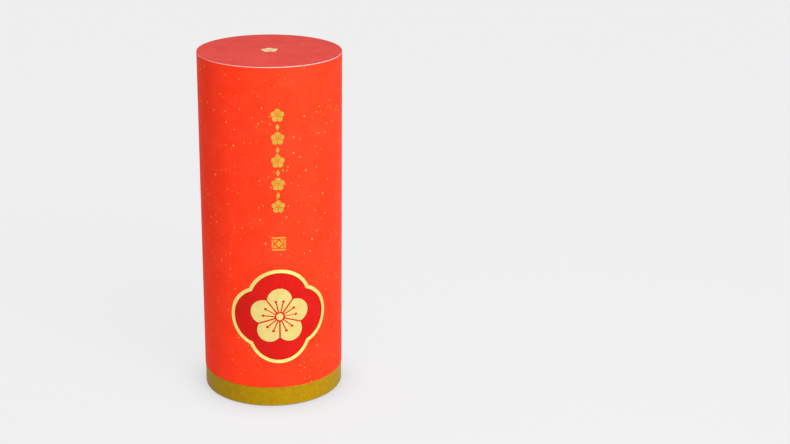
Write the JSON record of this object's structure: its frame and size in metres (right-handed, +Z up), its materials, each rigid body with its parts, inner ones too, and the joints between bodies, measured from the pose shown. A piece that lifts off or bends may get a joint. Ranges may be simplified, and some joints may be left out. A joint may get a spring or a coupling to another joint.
{
  "type": "cylindrical gift tube box",
  "caption": "Tall cylindrical gift box of wrapped board: a long lid slips over an inner neck tube and rests on a short gold base band; blossom medallion on the front.",
  "frame": {"origin": "centre of the foot, on the surface that the box stands on", "axes": "+Z up along the tube's axis; the printed front with the medallion faces -Y; +X is to the right when facing the front"},
  "size_m": [0.1, 0.1006, 0.2468],
  "materials": {
    "board": "matte",
    "red_paper": "satin",
    "deep_red_paper": "satin",
    "white_paper": "matte",
    "white_card": "matte",
    "gold_paper": "satin",
    "gold_card": "satin",
    "gold_foil": "satin"
  },
  "bodies": {
    "base": {"base_ring": "board", "base_disc": "board", "base_wrap": "gold_paper", "foot_paper": "deep_red_paper", "neck_tube": "board", "neck_wrap": "deep_red_paper", "neck_lining": "white_paper", "floor_paper": "white_paper"},
    "lid_carrier": {"lid_ceiling_paper": "white_paper"},
    "lid": {"lid_tube": "board", "lid_wrap": "red_paper", "lid_lining": "white_paper", "lid_end_plug": "board", "lid_top_card": "white_card", "lid_top_print": "deep_red_paper", "medallion_panel": "deep_red_paper", "medallion_frame": "gold_card", "medallion_emblem": "gold_card", "foil_garland": "gold_foil", "foil_fret": "gold_foil", "top_emblem": "gold_foil"}
  },
  "joints": [
    {"name": "lid_lift", "type": "slide", "parent": "base", "child": "lid_carrier", "axis": [0, 0, 1], "range_m": [0, 0.185]},
    {"name": "lid_turn", "type": "hinge", "parent": "lid_carrier", "child": "lid", "pos_m": [0, 0, 0.2436], "axis": [0, 0, 1], "continuous": true}
  ]
}
